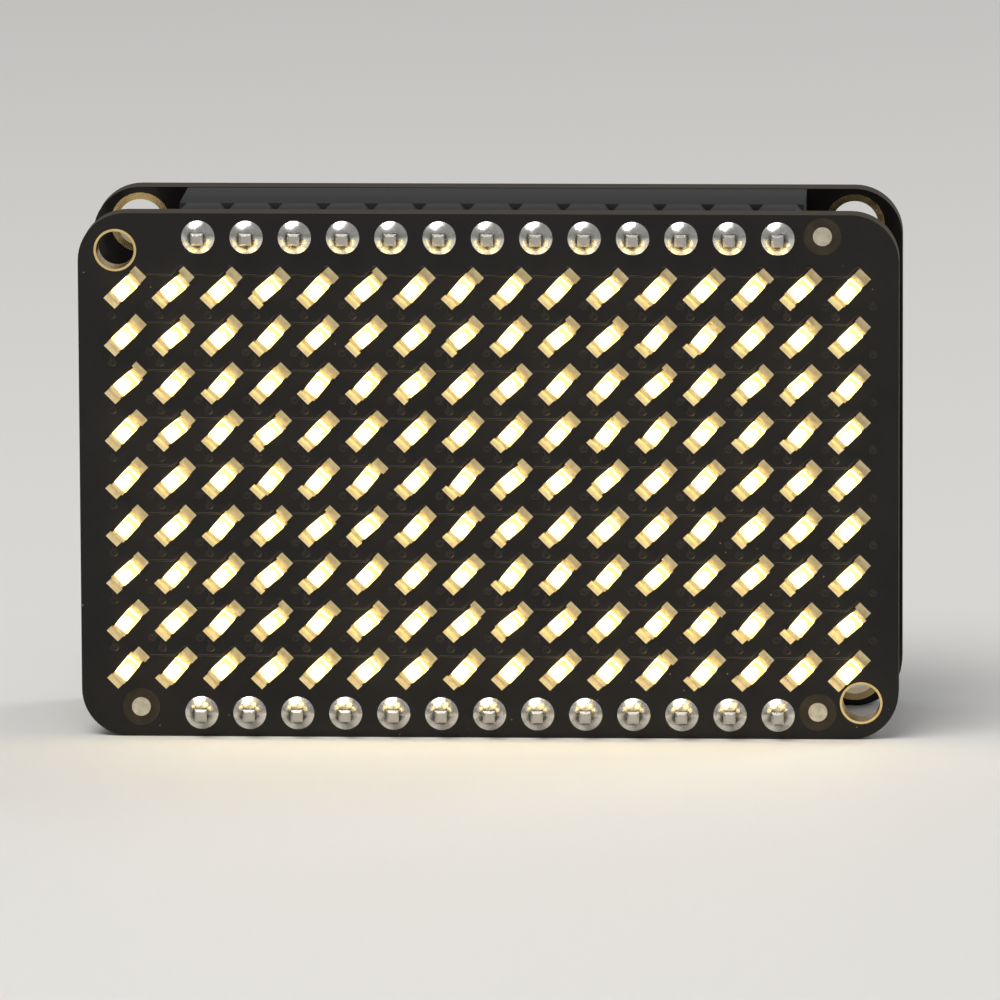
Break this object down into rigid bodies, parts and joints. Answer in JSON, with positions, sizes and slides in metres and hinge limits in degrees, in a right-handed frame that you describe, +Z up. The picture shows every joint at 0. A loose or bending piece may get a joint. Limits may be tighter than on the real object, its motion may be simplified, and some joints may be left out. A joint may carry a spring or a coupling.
{
  "type": "led dot matrix",
  "caption": "Lit dot matrix display: a board of warm white chip LEDs in a grid, plugged by two pin headers onto a driver board of the same outline.",
  "frame": {"origin": "middle of the footprint of the whole display, on the surface that its long bottom edges stand on", "axes": "+X along the long edge, to the right as seen from the lit side; +Y from the lit side to the back of the driver board; +Z up"},
  "size_m": [0.0432, 0.0142, 0.0279],
  "materials": {
    "circuit_board": "glossy black solder mask over glass-filled epoxy board",
    "plated_gold": "gold-plated copper",
    "bare_dot": "bare tinned copper",
    "pin_metal": "gold-plated brass pins",
    "contact_metal": "plated phosphor bronze springs",
    "solder": "bright set solder",
    "header_plastic": "black glass-filled plastic",
    "led_base": "white laminate",
    "led_terminal": "gold-plated terminals",
    "led_lens": "moulded resin lens, lit warm white",
    "chip_body": "black moulding compound",
    "tinned_lead": "tin-plated metal",
    "capacitor_ceramic": "brown ceramic",
    "resistor_glaze": "black glazed top"
  },
  "bodies": {
    "root": {"led_board": "circuit_board", "driver_board": "circuit_board", "corner_ring_top_left": "plated_gold", "corner_ring_bottom_right": "plated_gold", "driver_mounting_rings": "plated_gold", "wiring_rings": "plated_gold", "address_pads": "plated_gold", "fiducial_dots": "bare_dot", "top_header_strip": "header_plastic", "bottom_header_strip": "header_plastic", "top_socket": "header_plastic", "bottom_socket": "header_plastic", "top_header_pins": "pin_metal", "bottom_header_pins": "pin_metal", "top_pin_solder": "solder", "bottom_pin_solder": "solder", "top_tail_solder": "solder", "bottom_tail_solder": "solder", "driver_chip_solder": "solder", "small_part_solder": "solder", "led_solder": "solder", "top_socket_contacts": "contact_metal", "bottom_socket_contacts": "contact_metal", "driver_chip": "chip_body", "driver_chip_leads": "tinned_lead", "capacitor_ends": "tinned_lead", "resistor_ends": "tinned_lead", "capacitors": "capacitor_ceramic", "resistors": "resistor_glaze", "led_bases_row_1": "led_base", "led_terminals_row_1": "led_terminal", "led_lenses_row_1": "led_lens", "led_bases_row_2": "led_base", "led_terminals_row_2": "led_terminal", "led_lenses_row_2": "led_lens", "led_bases_row_3": "led_base", "led_terminals_row_3": "led_terminal", "led_lenses_row_3": "led_lens", "led_bases_row_4": "led_base", "led_terminals_row_4": "led_terminal", "led_lenses_row_4": "led_lens", "led_bases_row_5": "led_base", "led_terminals_row_5": "led_terminal", "led_lenses_row_5": "led_lens", "led_bases_row_6": "led_base", "led_terminals_row_6": "led_terminal", "led_lenses_row_6": "led_lens", "led_bases_row_7": "led_base", "led_terminals_row_7": "led_terminal", "led_lenses_row_7": "led_lens", "led_bases_row_8": "led_base", "led_terminals_row_8": "led_terminal", "led_lenses_row_8": "led_lens", "led_bases_row_9": "led_base", "led_terminals_row_9": "led_terminal", "led_lenses_row_9": "led_lens"}
  },
  "joints": []
}
